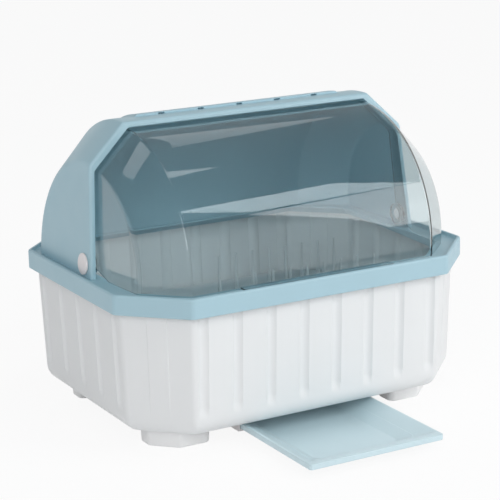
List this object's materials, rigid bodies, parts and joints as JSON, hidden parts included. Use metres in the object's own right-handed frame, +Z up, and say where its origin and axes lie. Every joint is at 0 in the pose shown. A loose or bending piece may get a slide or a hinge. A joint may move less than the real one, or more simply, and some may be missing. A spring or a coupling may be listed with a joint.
{
  "type": "covered dish drainer",
  "caption": "Covered dish drainer: ribbed tub on feet, clip-fit collar, fixed rear hood, clear lid that swings up inside it, slotted rack with plate combs and a drip tray that slides out.",
  "frame": {"origin": "on the floor plane, under the middle of the whole outline with the drip tray pulled out as in the picture", "axes": "+X to the drainer's right, +Y to its rear (the hood's side), +Z up"},
  "size_m": [0.5, 0.509, 0.3845],
  "materials": {
    "tub_white": "satin moulded white plastic",
    "frame_blue": "satin moulded pale blue plastic",
    "clear_lid": "clear glossy plastic",
    "fitting_white": "smooth white plastic",
    "rack_white": "matt white plastic"
  },
  "bodies": {
    "drainer": {"tub": "tub_white", "front_left_foot": "tub_white", "front_right_foot": "tub_white", "rear_left_foot": "tub_white", "rear_right_foot": "tub_white", "drain_strainer": "frame_blue", "rim_collar": "frame_blue", "rear_hood": "frame_blue", "left_pivot_pin": "fitting_white", "right_pivot_pin": "fitting_white", "left_pivot_washer": "fitting_white", "right_pivot_washer": "fitting_white", "left_pivot_clip": "fitting_white", "right_pivot_clip": "fitting_white", "left_tray_runner": "fitting_white", "right_tray_runner": "fitting_white", "drain_rack": "rack_white", "front_plate_comb": "rack_white", "rear_plate_comb": "rack_white"},
    "lid": {"front_lid": "clear_lid"},
    "tray": {"drip_tray": "frame_blue"}
  },
  "joints": [
    {"name": "lid_hinge", "type": "hinge", "parent": "drainer", "child": "lid", "pos_m": [0, 0.0412, 0.2129], "axis": [-1, 0, 0], "range_deg": [0, 90]},
    {"name": "tray_slide", "type": "slide", "parent": "drainer", "child": "tray", "axis": [0, -1, 0], "range_m": [-0.142, 0.045]}
  ]
}
